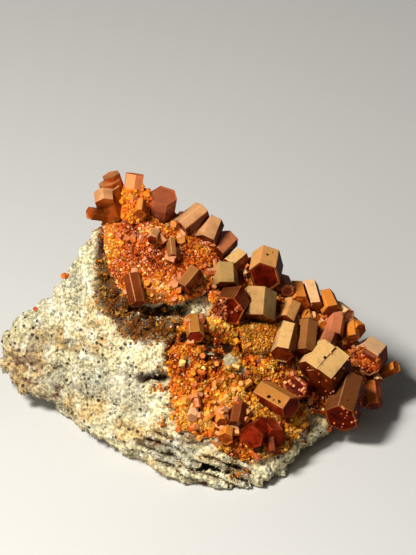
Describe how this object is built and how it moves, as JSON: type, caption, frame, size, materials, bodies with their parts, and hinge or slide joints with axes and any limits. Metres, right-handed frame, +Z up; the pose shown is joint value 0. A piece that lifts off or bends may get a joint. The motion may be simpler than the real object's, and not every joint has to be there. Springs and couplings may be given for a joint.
{
  "type": "mineral specimen, vanadinite on matrix",
  "caption": "Pale broken rock wedge with crusts of fine crystal and blocky six-sided red-brown crystals along its sloping face; rests on a flat base.",
  "frame": {"origin": "middle of the bounding box, on the flat base", "axes": "+Z up from the base, +X along the specimen's length towards the crystal-covered end, -Y towards the sloping crystal face"},
  "size_m": [0.084, 0.049, 0.053],
  "materials": {
    "rock": "matte",
    "crust_red": "satin",
    "crust_orange": "satin",
    "crust_brown": "matte",
    "crystal_tan": "satin",
    "crystal_red": "gloss",
    "crystal_orange": "satin",
    "crystal_pink": "satin"
  },
  "bodies": {
    "root": {"rock_matrix": "rock", "crust_upper_plate": "crust_red", "crust_middle_plate": "crust_red", "crust_lower_face": "crust_orange", "crust_ridge": "crust_orange", "crust_back": "crust_brown", "crystal_ridge_stack_front": "crystal_pink", "crystal_ridge_tall_prism": "crystal_pink", "crystal_ridge_large_pink": "crystal_pink", "crystal_ridge_quad": "crystal_tan", "crystal_ridge_wedge": "crystal_tan", "crystal_ridge_pink": "crystal_pink", "crystal_ridge_tan": "crystal_tan", "crystal_ridge_giant": "crystal_red", "crystal_ridge_shoulder": "crystal_red", "crystal_ridge_orange": "crystal_orange", "crystal_ridge_white": "crystal_pink", "crystal_ridge_orange_right": "crystal_orange", "crystal_ridge_pink_right": "crystal_pink", "crystal_face_square": "crystal_tan", "crystal_face_coated": "crystal_red", "crystal_face_barrel": "crystal_tan", "crystal_face_small_tan": "crystal_tan", "crystal_ridge_last": "crystal_orange", "crystal_face_reddish": "crystal_pink", "crystal_face_orange_block": "crystal_orange", "crystal_column_tan": "crystal_tan", "crystal_column_brown": "crystal_red", "crystal_twin_left": "crystal_tan", "crystal_pitted_block": "crystal_tan", "crystal_glassy_red": "crystal_red", "crystal_right_giant": "crystal_red", "crystal_right_end": "crystal_red", "crystal_right_far_prism": "crystal_orange", "crystal_right_cube": "crystal_red", "crystal_right_small": "crystal_pink", "crystal_plate_standing": "crystal_orange", "crystal_plate_tan": "crystal_tan", "crystal_plate_flat": "crystal_orange", "crystal_plate_red_left": "crystal_red", "crystal_plate_red_right": "crystal_red", "crystal_hollow_upright": "crystal_orange", "crystal_low_pink_left": "crystal_pink", "crystal_low_orange_left": "crystal_orange", "crystal_low_orange": "crystal_orange", "crystal_low_brown": "crystal_orange", "crystal_low_round": "crystal_orange", "crystal_bottom_red": "crystal_red", "crystal_back_upper_left": "crystal_orange", "crystal_back_upper_mid": "crystal_red", "crystal_back_right": "crystal_red", "crystal_back_low": "crystal_orange", "crystal_back_low_left": "crystal_tan"}
  },
  "joints": []
}
